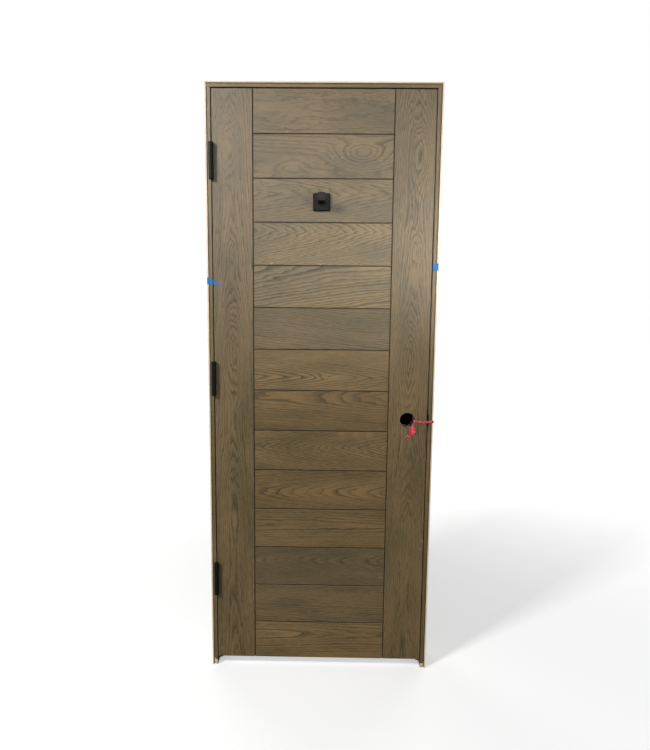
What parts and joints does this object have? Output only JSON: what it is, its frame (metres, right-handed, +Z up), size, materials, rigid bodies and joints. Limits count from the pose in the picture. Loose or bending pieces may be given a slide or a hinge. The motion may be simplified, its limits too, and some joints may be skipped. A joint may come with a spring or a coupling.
{
  "type": "interior door",
  "caption": "Pre-hung interior door: an oak leaf of horizontal planks between two stiles, bored for a lock, on black butt hinges in a kerfed jamb with stops, with a black robe hook.",
  "frame": {"origin": "on the back of the hinge jamb, the face that goes against the wall stud, at the middle of the jamb's depth and at floor level", "axes": "+X across the doorway from the hinge jamb to the strike jamb, +Y from the pull face to the push face, +Z up"},
  "size_m": [0.8005, 0.171, 2.09],
  "materials": {
    "jamb_oak": "stained oak, satin clear coat, raw on its outer edges",
    "stile_oak": "stained oak, satin clear coat",
    "plank_oak": "stained oak, satin clear coat",
    "hinge_black": "matt black powder coat on steel",
    "hook_black": "satin black powder coat on cast metal",
    "tie_red": "glossy red plastic ribbon"
  },
  "bodies": {
    "frame": {"hinge_jamb": "jamb_oak", "strike_jamb": "jamb_oak", "head_jamb": "jamb_oak", "hinge_stop": "jamb_oak", "strike_stop": "jamb_oak", "head_stop": "jamb_oak", "top_hinge_jamb_plate": "hinge_black", "middle_hinge_jamb_plate": "hinge_black", "bottom_hinge_jamb_plate": "hinge_black", "top_hinge_pin": "hinge_black", "middle_hinge_pin": "hinge_black", "bottom_hinge_pin": "hinge_black", "tie_jamb_end": "tie_red"},
    "leaf": {"hinge_stile": "stile_oak", "lock_stile": "stile_oak", "plank_01": "plank_oak", "plank_02": "plank_oak", "plank_03": "plank_oak", "plank_04": "plank_oak", "plank_05": "plank_oak", "plank_06": "plank_oak", "plank_07": "plank_oak", "plank_08": "plank_oak", "plank_09": "plank_oak", "plank_10": "plank_oak", "plank_11": "plank_oak", "plank_12": "plank_oak", "plank_13": "plank_oak", "plank_14": "plank_oak", "top_hinge_leaf_plate": "hinge_black", "middle_hinge_leaf_plate": "hinge_black", "bottom_hinge_leaf_plate": "hinge_black", "hook_rose": "hook_black", "hook_arm": "hook_black", "tie_strap": "tie_red", "tie_tail": "tie_red"}
  },
  "joints": [
    {"name": "leaf_swing", "type": "hinge", "parent": "frame", "child": "leaf", "pos_m": [0.02065, -0.067, 0.035], "axis": [0, 0, -1], "range_deg": [0, 180]}
  ]
}
